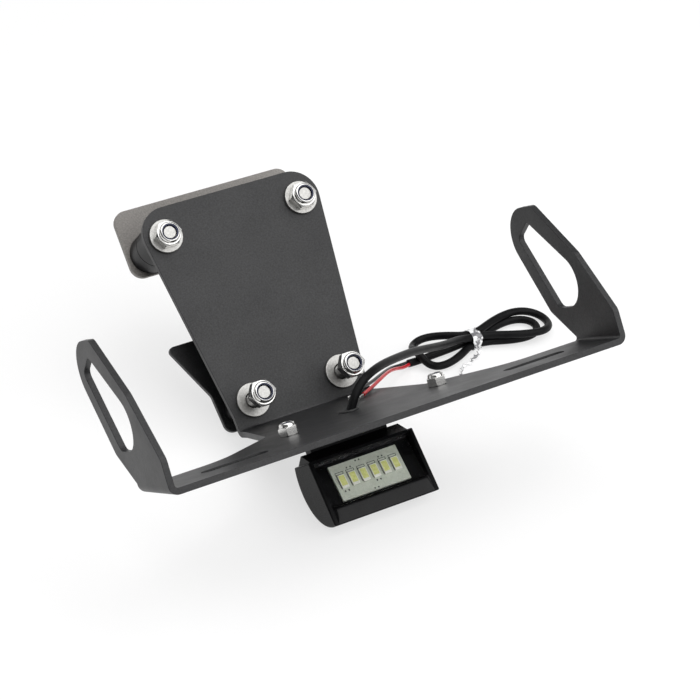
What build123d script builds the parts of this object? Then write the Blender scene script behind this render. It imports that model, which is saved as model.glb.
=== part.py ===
from build123d import *
import math
import os

# Tail tidy: a folded sheet bracket that carries a number plate, its light and two indicators.
# Millimetres. X runs along the cross bar, +Y is the rear, +Z is up and Z = 0 is the surface it stands on.
# The bracket stands on the belly of its plate light and on the foot of its lower clamp plate, as it is
# laid on a bench. The origin lies under the middle of the bracket, leaving out its lead.

# Folded sheet
sheet = 2.5
bend_radius = 1.2
tail_angle = 103.2
fold_straight = 6.0

# Tail plate, measured up from the fold
tail_foot_width = 60.2
tail_top_width = 82.6
tail_height = 96.7
tail_corner = 11.5

# Bar and arms, measured forward from the fold
bar_depth = 94.5
neck_depth = 40.0
neck_width = 71.0
arm_width = 33.0
arm_root_spacing = 126.0
ear_spacing = 188.6
neck_round = 2.0
arm_root_round = 25.0

# Slots for the number plate
slot_spacing = 128.6
slot_length = 27.0
slot_width = 6.5

# Ear outline: distance back from the front edge, height above the bar
ear_height = 55.8
ear_knee_back = 47.5
ear_knee_height = 12.2
ear_tip_back = 72.7
ear_tip_round = 12.7
ear_brow_back = 42.0
ear_shoulder_back = 18.0
ear_shoulder_height = 34.8
ear_heel_back = 0.3
ear_heel_height = 11.0
ear_round = 4.0

# Ear opening, in the same measures: the centres of its rounded corners, and their radii
opening_tail = (38.0, 17.6)
opening_tip = (54.8, 42.6)
opening_brow = (48.2, 46.9)
opening_foot = (32.0, 24.2)
opening_tail_round = 4.0
opening_tip_round = 2.6
opening_brow_round = 2.2
opening_foot_round = 10.6

# Clamp plates behind the tail plate
clamp_sheet = 2.5
upper_bolt_spacing = 61.5
upper_bolt_height = 84.4
upper_clamp_width = 81.2
upper_clamp_height = 29.3
upper_clamp_below = 8.9
upper_clamp_corner = 5.5
lower_bolt_spacing = 40.5
lower_bolt_height = 10.4
lower_clamp_bottom = 2.67
lower_clamp_top = 43.7
lower_clamp_width = 80.8
lower_clamp_waist = 57.9
lower_clamp_waist_height = 19.4
lower_clamp_taper = 1.0
lower_clamp_corner = 4.0
lower_clamp_tip = 2.0
spacer_length = 11.0
spacer_diameter = 17.0
lower_spacer_length = 16.4
lower_spacer_diameter = 12.0

# M6 fasteners of the clamp plates
m6 = 6.0
m6_clearance = 0.6
m6_across_flats = 10.0
m6_nut_height = 6.0
m6_head_diameter = 10.5
m6_head_height = 3.3
m6_socket = 4.0
washer_diameter = 14.0
washer_thickness = 1.5
bolt_recess = 1.0
lower_nut_gap = 8.7

# M4 fasteners of the plate light
m4 = 4.0
m4_clearance = 0.4
m4_across_flats = 7.0
m4_nut_height = 5.0
m4_head_diameter = 7.6
m4_head_height = 2.2
m4_socket = 2.5
light_bolt_spacing = 65.0
light_bolt_depth = 56.5
light_bolt_recess = 0.7

# Plate light: its plane is tilted, and its board is the reference
lamp_tilt = 27.4
lamp_depth = 44.65
lamp_drop = 25.5
lamp_width = 46.4
lamp_cheek = 1.8
lamp_rim = 4.4
lamp_rim_top = 10.4
lamp_belly = 19.08
lamp_belly_rise = 2.9
lamp_belly_ahead = 3.9
lamp_chin_angle = 185.0
lamp_back_angle = 311.0
lamp_edge_round = 0.8
hood_width = 43.4
hood_inset = 0.6
hood_top = 16.4
hood_behind = 2.8
foot_thickness = 2.5
foot_width = 14.0
foot_pad_width = 36.0
foot_pad_back = 25.0
foot_pad_corner = 2.0
web_width = 34.0
web_depth = 9.0
web_inset = 1.0
window_height = 18.2
window_rise = 0.2
window_thickness = 0.8
window_gap = 0.2
board_width = 30.0
board_height = 15.0
board_thickness = 1.2
chip_count = 6
chip_pitch = 4.7
chip_width = 3.0
chip_height = 5.7
chip_thickness = 0.7

# Lead, its grommet, hank, tie and wires
lead_diameter = 3.4
cable_hole_x = -1.5
cable_hole_depth = 45.0
cable_hole_diameter = 6.4
grommet_diameter = 8.2
grommet_lip = 0.6
grommet_clearance = 0.15
hank_height = 6.8
tie_thickness = 0.7
tie_width = 5.0
tie_x = 93.2
hank_y = 16.4
hank_waist = 7.6
hank_waist_margin = 1.2
hank_lobe = 22.0
hank_left_x = 73.9
hank_right_x = 119.2
hank_tail_x = 60.7
wire_diameter = 1.5
wire_end_diameter = 0.9
wire_end_length = 5.0

os.makedirs("parts", exist_ok=True)

# How the bracket stands: the tilt that puts the light's belly and the clamp plate's foot on the floor
tail_lean = math.radians(tail_angle - 90)
lamp_lean = math.radians(lamp_tilt)
belly_y = -lamp_depth + lamp_belly_rise * math.sin(lamp_lean) - lamp_belly_ahead * math.cos(lamp_lean)
belly_z = -lamp_drop + lamp_belly_rise * math.cos(lamp_lean) + lamp_belly_ahead * math.sin(lamp_lean)
clamp_back = sheet + lower_spacer_length + clamp_sheet
heel_y = lower_clamp_bottom * math.sin(tail_lean) + clamp_back * math.cos(tail_lean)
heel_z = lower_clamp_bottom * math.cos(tail_lean) - clamp_back * math.sin(tail_lean)
heel_reach = math.hypot(heel_y - belly_y, heel_z - belly_z)
rest_tilt = math.atan2(heel_z - belly_z, heel_y - belly_y) + math.asin(lamp_belly / heel_reach)
fold_height = heel_y * math.sin(rest_tilt) - heel_z * math.cos(rest_tilt)

# Where the fold lies, so that the front of the bar and the back of the upper clamp plate reach as far
tail_tilt = rest_tilt + tail_lean
upper_clamp_front = sheet + 2 * spacer_length
upper_clamp_middle = upper_bolt_height - upper_clamp_below + upper_clamp_height / 2
upper_clamp_top = upper_clamp_middle + upper_clamp_height / 2
front_reach = bar_depth * math.cos(rest_tilt) + sheet * math.sin(rest_tilt)
rear_reach = upper_clamp_top * math.sin(tail_tilt) + (upper_clamp_front + clamp_sheet) * math.cos(tail_tilt)
fold_y = (front_reach - rear_reach) / 2


def leaning_plane(origin, lean):
    """Plane facing the front, leaning back from upright by the given angle in radians."""
    return Plane(origin=origin, x_dir=(1, 0, 0), z_dir=(0, -math.cos(lean), math.sin(lean)))


bar_plane = Plane(
    origin=(0, fold_y, fold_height), x_dir=(1, 0, 0), z_dir=(0, math.sin(rest_tilt), math.cos(rest_tilt))
)
tail_plane = leaning_plane(bar_plane.origin, tail_tilt)
lamp_plane = leaning_plane(
    bar_plane.from_local_coords((0, -lamp_depth, -lamp_drop)), rest_tilt + lamp_lean
)
lamp_side = Plane(origin=lamp_plane.origin, x_dir=lamp_plane.y_dir, z_dir=(1, 0, 0))


def ear_plane(x):
    """Plane across the bar at x: distance back from the front edge, and height above the bar."""
    origin = bar_plane.from_local_coords((x, -bar_depth, 0))
    return Plane(origin=origin, x_dir=bar_plane.y_dir, z_dir=(1, 0, 0))


def corners(shape, *points):
    """The shape's vertices that lie at the given points of its sketch, on the left side too."""
    return shape.vertices().filter_by(
        lambda v: any(math.dist((x, v.Y), point) < 0.01 for point in points for x in (v.X, -v.X))
    )


def fold_edges(part, *points):
    """The edge of the part that passes through each point."""
    return [part.edges().sort_by_distance(bar_plane.from_local_coords(point))[0] for point in points]


def pair(spacing, height):
    """The two places of a left and right pair."""
    return [(-spacing / 2, height), (spacing / 2, height)]


upper_places = pair(upper_bolt_spacing, upper_bolt_height)
lower_places = pair(lower_bolt_spacing, lower_bolt_height)
light_places = pair(light_bolt_spacing, -light_bolt_depth)
ear_inner = ear_spacing / 2
ear_outer = ear_inner + sheet
arm_rear = arm_width - bar_depth
arm_middle = arm_width / 2 - bar_depth
fold_mitre = sheet * math.tan(math.radians(180 - tail_angle) / 2)
bend_straight = bend_radius + 0.3

# Main bracket, one sheet: tail plate, bar with arms, and the ears. The folds are square corners first.
with BuildPart() as main_bracket:
    with BuildSketch(tail_plane):
        with BuildLine():
            Polyline(
                (0, -fold_mitre),
                (tail_foot_width / 2, -fold_mitre),
                (tail_foot_width / 2, fold_straight),
                (tail_top_width / 2, tail_height),
                (0, tail_height),
            )
            mirror(about=Plane.YZ)
        tail_outline = make_face()
        fillet(corners(tail_outline, (tail_top_width / 2, tail_height)), tail_corner)
        with Locations(*upper_places, *lower_places):
            Circle((m6 + m6_clearance) / 2, mode=Mode.SUBTRACT)
    extrude(amount=-sheet)

    with BuildSketch(bar_plane) as bar:
        with BuildLine():
            Polyline(
                (0, fold_mitre),
                (tail_foot_width / 2, fold_mitre),
                (tail_foot_width / 2, -fold_straight),
                (neck_width / 2, -neck_depth),
                (arm_root_spacing / 2, arm_rear),
                (ear_outer, arm_rear),
                (ear_outer, -bar_depth),
                (0, -bar_depth),
            )
            mirror(about=Plane.YZ)
        make_face()
        fillet(corners(bar, (neck_width / 2, -neck_depth)), neck_round)
        fillet(corners(bar, (arm_root_spacing / 2, arm_rear)), arm_root_round)
        with Locations(*pair(slot_spacing, arm_middle)):
            SlotOverall(slot_length, slot_width, mode=Mode.SUBTRACT)
        with Locations(*light_places):
            Circle((m4 + m4_clearance) / 2, mode=Mode.SUBTRACT)
        with Locations((cable_hole_x, -cable_hole_depth)):
            Circle(cable_hole_diameter / 2, mode=Mode.SUBTRACT)
    extrude(amount=-sheet)

    opening_rounds = [
        (opening_tail, opening_tail_round),
        (opening_tip, opening_tip_round),
        (opening_brow, opening_brow_round),
        (opening_foot, opening_foot_round),
    ]
    ear_bends = [
        (ear_heel_back, ear_heel_height),
        (ear_shoulder_back, ear_shoulder_height),
        (ear_brow_back, ear_height),
        (ear_knee_back, ear_knee_height),
    ]
    for ear_x in (ear_inner, -ear_outer):
        with BuildSketch(ear_plane(ear_x)) as ear:
            with BuildLine():
                Polyline(
                    (0, -sheet),
                    (0, bend_straight),
                    (ear_heel_back, ear_heel_height),
                    (ear_shoulder_back, ear_shoulder_height),
                    (ear_brow_back, ear_height),
                    (ear_tip_back, ear_height),
                    (ear_knee_back, ear_knee_height),
                    (arm_width, bend_straight),
                    (arm_width, -sheet),
                    close=True,
                )
            make_face()
            fillet(corners(ear, (ear_tip_back, ear_height)), ear_tip_round)
            fillet(corners(ear, *ear_bends), ear_round)
        extrude(amount=sheet)
        with BuildSketch(ear_plane(ear_x)) as opening:
            for centre, radius in opening_rounds:
                with Locations(centre):
                    Circle(radius)
            make_hull(opening.edges())
        extrude(amount=sheet, mode=Mode.SUBTRACT)

    inner_folds = fold_edges(
        main_bracket, (0, 0, 0), (ear_inner, arm_middle, 0), (-ear_inner, arm_middle, 0)
    )
    fillet(inner_folds, bend_radius)
    outer_folds = fold_edges(
        main_bracket,
        (0, fold_mitre, -sheet),
        (ear_outer, arm_middle, -sheet),
        (-ear_outer, arm_middle, -sheet),
    )
    fillet(outer_folds, bend_radius + sheet)
main_bracket.part.label = "main_bracket"
export_step(main_bracket.part, "parts/main_bracket.step")

# Upper clamp plate: a rounded rectangle on the upper bolts
with BuildPart() as upper_clamp_plate:
    with BuildSketch(tail_plane.offset(-upper_clamp_front)):
        with Locations((0, upper_clamp_middle)):
            RectangleRounded(upper_clamp_width, upper_clamp_height, upper_clamp_corner)
        with Locations(*upper_places):
            Circle((m6 + m6_clearance) / 2, mode=Mode.SUBTRACT)
    extrude(amount=-clamp_sheet)
upper_clamp_plate.part.label = "upper_clamp_plate"
export_step(upper_clamp_plate.part, "parts/upper_clamp_plate.step")

# Lower clamp plate: wings above, narrower foot below, on the lower bolts
lower_clamp_front = sheet + lower_spacer_length
foot_corner = (lower_clamp_waist / 2 - lower_clamp_taper, lower_clamp_bottom)
waist_corner = (lower_clamp_waist / 2, lower_clamp_waist_height)
wing_tip = (lower_clamp_width / 2, lower_clamp_top)
with BuildPart() as lower_clamp_plate:
    with BuildSketch(tail_plane.offset(-lower_clamp_front)) as wings:
        with BuildLine():
            Polyline(
                (0, lower_clamp_bottom),
                foot_corner,
                waist_corner,
                wing_tip,
                (0, lower_clamp_top),
            )
            mirror(about=Plane.YZ)
        make_face()
        fillet(corners(wings, foot_corner, waist_corner), lower_clamp_corner)
        fillet(corners(wings, wing_tip), lower_clamp_tip)
        with Locations(*lower_places):
            Circle((m6 + m6_clearance) / 2, mode=Mode.SUBTRACT)
    extrude(amount=-clamp_sheet)
lower_clamp_plate.part.label = "lower_clamp_plate"
export_step(lower_clamp_plate.part, "parts/lower_clamp_plate.step")


def button_bolt(thread, length, head_diameter, head_height, socket):
    """Domed socket bolt on the Z axis, with the underside of its head at Z = 0."""
    rim = head_height * 0.3
    tip = thread * 0.09
    with BuildPart() as bolt:
        with BuildSketch(Plane.XZ):
            with BuildLine():
                dome = ThreePointArc(
                    (socket * 0.75, -head_height),
                    (head_diameter * 0.42, -head_height * 0.72),
                    (head_diameter / 2, -rim),
                )
                Polyline(
                    dome @ 1,
                    (head_diameter / 2, 0),
                    (thread / 2, 0),
                    (thread / 2, length - tip),
                    (thread / 2 - tip, length),
                    (0, length),
                    (0, -head_height),
                    dome @ 0,
                )
            make_face()
        revolve(axis=Axis.Z)
        with BuildSketch(Plane.XY.offset(-head_height)):
            RegularPolygon(socket / 2, 6, major_radius=False)
        extrude(amount=head_height * 0.6, mode=Mode.SUBTRACT)
    return bolt.part


def lock_nut(thread, across_flats, height):
    """Nylon-insert lock nut on the Z axis, seated at Z = 0, with the cavity for its insert."""
    hex_height = height * 0.7
    corner = across_flats / math.sqrt(3)
    ease = (corner - across_flats * 0.485) * math.tan(math.radians(30))
    collar = across_flats * 0.44
    lip = height * 0.93
    with BuildPart() as nut:
        with BuildSketch():
            RegularPolygon(across_flats / 2, 6, major_radius=False)
        extrude(amount=hex_height)
        with BuildSketch(Plane.XZ):
            with BuildLine():
                Polyline(
                    (0, 0),
                    (across_flats * 0.485, 0),
                    (corner, ease),
                    (corner, hex_height - ease),
                    (across_flats * 0.485, hex_height),
                    (0, hex_height),
                    close=True,
                )
            make_face()
        revolve(axis=Axis.Z, mode=Mode.INTERSECT)
        with BuildSketch(Plane.XY.offset(hex_height)):
            Circle(collar)
        extrude(amount=height - hex_height)
        fillet(nut.edges().group_by(Axis.Z)[-1], (height - hex_height) * 0.6)
        with BuildSketch():
            Circle(thread / 2)
        extrude(amount=height, mode=Mode.SUBTRACT)
        with BuildSketch(Plane.XY.offset(hex_height)):
            Circle(thread * 0.64)
        extrude(amount=lip - hex_height, mode=Mode.SUBTRACT)
        with BuildSketch(Plane.XY.offset(lip)):
            Circle(thread * 0.58)
        extrude(amount=height - lip, mode=Mode.SUBTRACT)
    return nut.part


def nut_insert(thread, height):
    """Nylon ring that fills the cavity of a lock nut of the same thread and height."""
    with BuildPart() as ring:
        with BuildSketch(Plane.XY.offset(height * 0.7)):
            Circle(thread * 0.64)
            Circle(thread / 2, mode=Mode.SUBTRACT)
        extrude(amount=height * 0.23)
    return ring.part


nut_reach = washer_thickness + m6_nut_height - bolt_recess
upper_bolt_length = upper_clamp_front + clamp_sheet + nut_reach
lower_bolt_length = lower_clamp_front + clamp_sheet + lower_nut_gap + nut_reach
light_bolt_length = foot_thickness + sheet + m4_nut_height - light_bolt_recess
upper_bolt = button_bolt(m6, upper_bolt_length, m6_head_diameter, m6_head_height, m6_socket)
lower_bolt = button_bolt(m6, lower_bolt_length, m6_head_diameter, m6_head_height, m6_socket)
light_bolt = button_bolt(m4, light_bolt_length, m4_head_diameter, m4_head_height, m4_socket)
m6_nut = lock_nut(m6, m6_across_flats, m6_nut_height)
m6_insert = nut_insert(m6, m6_nut_height)
m4_nut = lock_nut(m4, m4_across_flats, m4_nut_height)
m4_insert = nut_insert(m4, m4_nut_height)

# Bolts, each pair with its heads on the back of its clamp plate
with BuildPart(tail_plane.offset(-upper_clamp_front - clamp_sheet)) as upper_bolts:
    with Locations(*upper_places):
        add(upper_bolt)
upper_bolts.part.label = "upper_bolts"
export_step(upper_bolts.part, "parts/upper_bolts.step")

with BuildPart(tail_plane.offset(-lower_clamp_front - clamp_sheet)) as lower_bolts:
    with Locations(*lower_places):
        add(lower_bolt)
lower_bolts.part.label = "lower_bolts"
export_step(lower_bolts.part, "parts/lower_bolts.step")


def ring_pair(plane, places, outer, inner, length):
    """Two plain rings that stand on the plane, one at each place."""
    with BuildPart() as rings:
        with BuildSketch(plane):
            with Locations(*places):
                Circle(outer / 2)
                Circle(inner / 2, mode=Mode.SUBTRACT)
        extrude(amount=length)
    return rings


# Washers on the front of the tail plate
washer_bore = m6 + m6_clearance
upper_washers = ring_pair(tail_plane, upper_places, washer_diameter, washer_bore, washer_thickness)
upper_washers.part.label = "upper_washers"
export_step(upper_washers.part, "parts/upper_washers.step")

lower_washers = ring_pair(tail_plane, lower_places, washer_diameter, washer_bore, washer_thickness)
lower_washers.part.label = "lower_washers"
export_step(lower_washers.part, "parts/lower_washers.step")

# Lock nuts: the upper pair is run down, the lower pair stands off its washers
upper_nut_plane = tail_plane.offset(washer_thickness)
with BuildPart(upper_nut_plane) as upper_nuts:
    with Locations(*upper_places):
        add(m6_nut)
upper_nuts.part.label = "upper_nuts"
export_step(upper_nuts.part, "parts/upper_nuts.step")

with BuildPart(upper_nut_plane) as upper_nut_inserts:
    with Locations(*upper_places):
        add(m6_insert)
upper_nut_inserts.part.label = "upper_nut_inserts"
export_step(upper_nut_inserts.part, "parts/upper_nut_inserts.step")

lower_nut_plane = tail_plane.offset(washer_thickness + lower_nut_gap)
with BuildPart(lower_nut_plane) as lower_nuts:
    with Locations(*lower_places):
        add(m6_nut)
lower_nuts.part.label = "lower_nuts"
export_step(lower_nuts.part, "parts/lower_nuts.step")

with BuildPart(lower_nut_plane) as lower_nut_inserts:
    with Locations(*lower_places):
        add(m6_insert)
lower_nut_inserts.part.label = "lower_nut_inserts"
export_step(lower_nut_inserts.part, "parts/lower_nut_inserts.step")

# Spacers between the tail plate and the clamp plates
front_spacers = ring_pair(
    tail_plane.offset(-sheet - spacer_length), upper_places, spacer_diameter, washer_bore, spacer_length
)
front_spacers.part.label = "front_spacers"
export_step(front_spacers.part, "parts/front_spacers.step")

rear_spacers = ring_pair(
    tail_plane.offset(-upper_clamp_front), upper_places, spacer_diameter, washer_bore, spacer_length
)
rear_spacers.part.label = "rear_spacers"
export_step(rear_spacers.part, "parts/rear_spacers.step")

lower_spacers = ring_pair(
    tail_plane.offset(-lower_clamp_front),
    lower_places,
    lower_spacer_diameter,
    washer_bore,
    lower_spacer_length,
)
lower_spacers.part.label = "lower_spacers"
export_step(lower_spacers.part, "parts/lower_spacers.step")

# Plate light bolts from below, with their lock nuts on the bar
with BuildPart(bar_plane.offset(-sheet - foot_thickness)) as light_bolts:
    with Locations(*light_places):
        add(light_bolt)
light_bolts.part.label = "light_bolts"
export_step(light_bolts.part, "parts/light_bolts.step")

with BuildPart(bar_plane) as light_nuts:
    with Locations(*light_places):
        add(m4_nut)
light_nuts.part.label = "light_nuts"
export_step(light_nuts.part, "parts/light_nuts.step")

with BuildPart(bar_plane) as light_nut_inserts:
    with Locations(*light_places):
        add(m4_insert)
light_nut_inserts.part.label = "light_nut_inserts"
export_step(light_nut_inserts.part, "parts/light_nut_inserts.step")

# Plate light housing: a half-moon body with cheeks, a chin that slopes to the window, a hood, a web and
# a foot against the underside of the bar. Its profile is drawn from the side, up the board and out of it.
pocket_floor = -board_thickness
window_front = chip_thickness + window_gap + window_thickness
window_width = lamp_width - 2 * lamp_cheek
window_top = window_rise + window_height / 2
window_foot = window_rise - window_height / 2
hood_brow = (hood_top, -hood_behind)
web_top = -sheet - web_inset
with BuildPart() as light_housing:
    with BuildSketch(lamp_side):
        with BuildLine():
            belly = CenterArc(
                (lamp_belly_rise, lamp_belly_ahead),
                lamp_belly,
                lamp_chin_angle,
                lamp_back_angle - lamp_chin_angle,
            )
            Polyline(belly @ 1, (lamp_rim_top, lamp_rim), belly @ 0)
        make_face()
    chin_tip, back_top = belly @ 0, belly @ 1
    extrude(amount=lamp_width / 2, both=True)
    cheek_edges = light_housing.edges().filter_by(lambda e: abs(abs(e.center().X) - lamp_width / 2) < 0.01)
    fillet(cheek_edges, lamp_edge_round)
    with BuildSketch(lamp_side):
        with BuildLine():
            Polyline(
                (0, pocket_floor),
                (lamp_rim_top - hood_inset, lamp_rim - hood_inset),
                hood_brow,
                (back_top.X - hood_inset, back_top.Y + hood_inset),
                close=True,
            )
        make_face()
    extrude(amount=hood_width / 2, both=True)
    with BuildSketch(lamp_side):
        with BuildLine():
            Polyline(
                (chin_tip.X, chin_tip.Y),
                (window_foot, window_front),
                (window_top, window_front),
                (window_top, 2 * lamp_rim),
                (chin_tip.X, 2 * lamp_rim),
                close=True,
            )
        make_face()
    extrude(amount=window_width / 2, both=True, mode=Mode.SUBTRACT)
    with BuildSketch(lamp_plane.offset(pocket_floor)):
        with Locations((0, window_rise)):
            Rectangle(window_width, window_height)
    extrude(amount=2 * lamp_rim, mode=Mode.SUBTRACT)
    with BuildSketch(bar_plane.offset(-sheet - foot_thickness)):
        with Locations((0, -light_bolt_depth)):
            SlotCenterToCenter(light_bolt_spacing, foot_width)
        foot_pad_front = light_bolt_depth + foot_width / 2
        with Locations((0, -(foot_pad_front + foot_pad_back) / 2)):
            RectangleRounded(foot_pad_width, foot_pad_front - foot_pad_back, foot_pad_corner)
        with Locations(*light_places):
            Circle((m4 + m4_clearance) / 2, mode=Mode.SUBTRACT)
    extrude(amount=foot_thickness)
    with BuildSketch(lamp_side):
        web_rear, web_front = (
            lamp_side.to_local_coords(bar_plane.from_local_coords((0, -foot_pad_back - depth, web_top)))
            for depth in (web_inset, web_inset + web_depth)
        )
        with BuildLine():
            Polyline(
                (hood_top - web_inset, -hood_behind - web_inset),
                (web_front.X, web_front.Y),
                (web_rear.X, web_rear.Y),
                (back_top.X - web_inset, back_top.Y + 2 * web_inset),
                close=True,
            )
        make_face()
    extrude(amount=web_width / 2, both=True)
light_housing.part.label = "light_housing"
export_step(light_housing.part, "parts/light_housing.step")

# Clear window, let into the housing over the board
with BuildPart() as light_window:
    with BuildSketch(lamp_plane.offset(window_front - window_thickness)):
        with Locations((0, window_rise)):
            Rectangle(window_width, window_height)
    extrude(amount=window_thickness)
light_window.part.label = "light_window"
export_step(light_window.part, "parts/light_window.step")

# Circuit board on the floor of the pocket, with its row of chips
with BuildPart() as light_board:
    with BuildSketch(lamp_plane):
        Rectangle(board_width, board_height)
    extrude(amount=-board_thickness)
light_board.part.label = "light_board"
export_step(light_board.part, "parts/light_board.step")

with BuildPart() as light_chips:
    with BuildSketch(lamp_plane):
        with GridLocations(chip_pitch, 1, chip_count, 1):
            Rectangle(chip_width, chip_height)
    extrude(amount=chip_thickness)
light_chips.part.label = "light_chips"
export_step(light_chips.part, "parts/light_chips.step")

# Grommet in the bar, round the lead, which leaves it upwards and to the right
hank_top = tie_thickness + hank_height
lead_way = Vector(0.40, 0.25, 0.88).normalized()
lead_bore = Plane(
    origin=bar_plane.from_local_coords((cable_hole_x, -cable_hole_depth, -sheet / 2)), z_dir=lead_way
)
with BuildPart() as grommet:
    with BuildSketch(bar_plane.offset(-sheet)):
        with Locations((cable_hole_x, -cable_hole_depth)):
            Circle(cable_hole_diameter / 2)
    extrude(amount=sheet)
    with BuildSketch(bar_plane):
        with Locations((cable_hole_x, -cable_hole_depth)):
            Circle(grommet_diameter / 2)
    extrude(amount=grommet_lip)
    lip_face = grommet.faces().sort_by(Axis(bar_plane.origin, bar_plane.z_dir))[-1]
    fillet(lip_face.edges(), grommet_lip * 0.6)
    with BuildSketch(lead_bore):
        Circle(lead_diameter / 2 + grommet_clearance)
    extrude(amount=2 * (sheet + grommet_lip), both=True, mode=Mode.SUBTRACT)
grommet.part.label = "grommet"
export_step(grommet.part, "parts/grommet.step")


def bend_radii(route):
    """The largest arc at each inner point of a route that leaves a tenth of its shorter run straight."""
    radii = []
    for before, here, after in zip(route, route[1:], route[2:]):
        run_in, run_out = Vector(here) - Vector(before), Vector(after) - Vector(here)
        half_turn = math.radians(run_in.get_angle(run_out)) / 2
        radii.append(0.45 * min(run_in.length, run_out.length) / math.tan(half_turn))
    return radii


def tube(name, route, diameter):
    """Round tube along straight runs joined by tangent arcs."""
    radii = bend_radii(route)
    print(name, "bend radii", [round(radius, 1) for radius in radii])
    with BuildPart() as piece:
        with BuildLine() as path:
            FilletPolyline(*route, radius=radii)
        with BuildSketch(Plane(origin=path.line @ 0, z_dir=path.line % 0)):
            Circle(diameter / 2)
        sweep()
    length = path.wire().length
    share = piece.part.volume / (length * math.pi * diameter**2 / 4)
    print(name, "length", round(length, 1), "volume over section times length", round(share, 4))
    return piece


# Lead: up through the grommet, over the bar and down to the hank on the floor
lead_route = [
    lead_bore.from_local_coords((0, 0, -2.4)),
    lead_bore.from_local_coords((0, 0, 5.2)),
    (6.0, -39.7, 44.5),
    (13.1, -35.9, 45.0),
    (22.0, -29.7, 42.1),
    (32.6, -22.0, 36.9),
    (45.2, -13.2, 30.6),
    (59.8, -3.3, 21.9),
    (72.9, 6.1, 13.8),
    (82.9, 13.0, 8.3),
    (89.7, 17.4, 3.6),
]
lead = tube("lead", lead_route, lead_diameter)
with BuildPart() as lead_cut:
    add(lead.part)
    split(bisect_by=Plane.XY.offset(hank_top), keep=Keep.TOP)
    split(bisect_by=bar_plane.offset(-sheet), keep=Keep.TOP)
lead_cut.part.label = "lead"
export_step(lead_cut.part, "parts/lead.step")

# Hank: the outer shape of the tied-up turns, a lobe each side of the tie
waist_half = tie_width / 2 + hank_waist_margin
tail_centre = tie_thickness + lead_diameter / 2
with BuildPart() as cable_hank:
    with BuildSketch(Plane.XY.offset(tie_thickness)):
        for lobe_x, waist_x in ((hank_left_x, tie_x - waist_half), (hank_right_x, tie_x + waist_half)):
            with BuildSketch(mode=Mode.PRIVATE) as lobe:
                with Locations((lobe_x, hank_y)):
                    Circle(hank_lobe / 2)
                with Locations((waist_x, hank_y)):
                    Circle(hank_waist / 2)
                make_hull(lobe.edges())
            add(lobe.sketch)
        with Locations((tie_x, hank_y)):
            Rectangle(2 * waist_half, hank_waist)
    extrude(amount=hank_height)
    with BuildSketch(Plane.YZ.offset(hank_tail_x)):
        with Locations((hank_y, tail_centre)):
            Circle(lead_diameter / 2)
    extrude(amount=hank_left_x - hank_tail_x)
cable_hank.part.label = "cable_hank"
export_step(cable_hank.part, "parts/cable_hank.step")

# Tie round the waist of the hank
with BuildPart() as cable_tie:
    with BuildSketch(Plane.YZ.offset(tie_x - tie_width / 2)):
        with Locations((hank_y, tie_thickness + hank_height / 2)):
            RectangleRounded(hank_waist + 2 * tie_thickness, hank_height + 2 * tie_thickness, tie_thickness)
            Rectangle(hank_waist, hank_height, mode=Mode.SUBTRACT)
    extrude(amount=tie_width)
cable_tie.part.label = "cable_tie"
export_step(cable_tie.part, "parts/cable_tie.step")

# Wires: out of the end of the lead and back up onto the bar, with bare tinned ends
red_route = [
    (hank_tail_x, hank_y - 0.8, tail_centre),
    (56.7, hank_y - 0.8, tail_centre),
    (52.7, 12.9, 5.1),
    (47.6, 6.8, 10.3),
    (40.6, -1.2, 15.3),
    (32.9, -8.7, 19.1),
    (24.8, -15.7, 21.8),
    bar_plane.from_local_coords((17.5, -19.8, 1.15)),
]
black_route = [
    (hank_tail_x, hank_y + 0.8, tail_centre),
    (56.1, hank_y + 0.8, tail_centre),
    (51.4, 15.0, 4.2),
    (45.8, 9.5, 7.9),
    (38.5, 2.6, 11.7),
    (30.6, -4.0, 14.9),
    (23.6, -8.9, 17.7),
    bar_plane.from_local_coords((17.6, -10.0, 1.3)),
]
red_wire = tube("red_wire", red_route, wire_diameter)
red_wire.part.label = "red_wire"
export_step(red_wire.part, "parts/red_wire.step")

black_wire = tube("black_wire", black_route, wire_diameter)
black_wire.part.label = "black_wire"
export_step(black_wire.part, "parts/black_wire.step")

with BuildPart() as wire_ends:
    for route in (red_route, black_route):
        wire_tip = Plane(origin=route[-1], z_dir=Vector(route[-1]) - Vector(route[-2]))
        with BuildSketch(wire_tip):
            Circle(wire_end_diameter / 2)
        extrude(amount=wire_end_length)
wire_ends.part.label = "wire_ends"
export_step(wire_ends.part, "parts/wire_ends.step")
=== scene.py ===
import math

import bmesh
import bpy
import numpy as np
from mathutils import Matrix, Vector


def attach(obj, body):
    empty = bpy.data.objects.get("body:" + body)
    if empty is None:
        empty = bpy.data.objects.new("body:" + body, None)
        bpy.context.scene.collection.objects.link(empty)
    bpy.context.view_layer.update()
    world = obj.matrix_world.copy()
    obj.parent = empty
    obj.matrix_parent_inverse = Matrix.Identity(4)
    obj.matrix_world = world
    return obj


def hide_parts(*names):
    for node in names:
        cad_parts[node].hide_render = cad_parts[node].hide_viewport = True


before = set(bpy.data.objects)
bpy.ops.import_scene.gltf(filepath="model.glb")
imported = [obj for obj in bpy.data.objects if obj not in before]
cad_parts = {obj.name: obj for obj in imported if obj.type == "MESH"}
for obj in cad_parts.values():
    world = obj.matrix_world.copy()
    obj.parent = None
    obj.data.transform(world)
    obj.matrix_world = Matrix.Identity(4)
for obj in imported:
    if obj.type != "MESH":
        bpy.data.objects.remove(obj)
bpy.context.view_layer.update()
MM = 0.001

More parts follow.
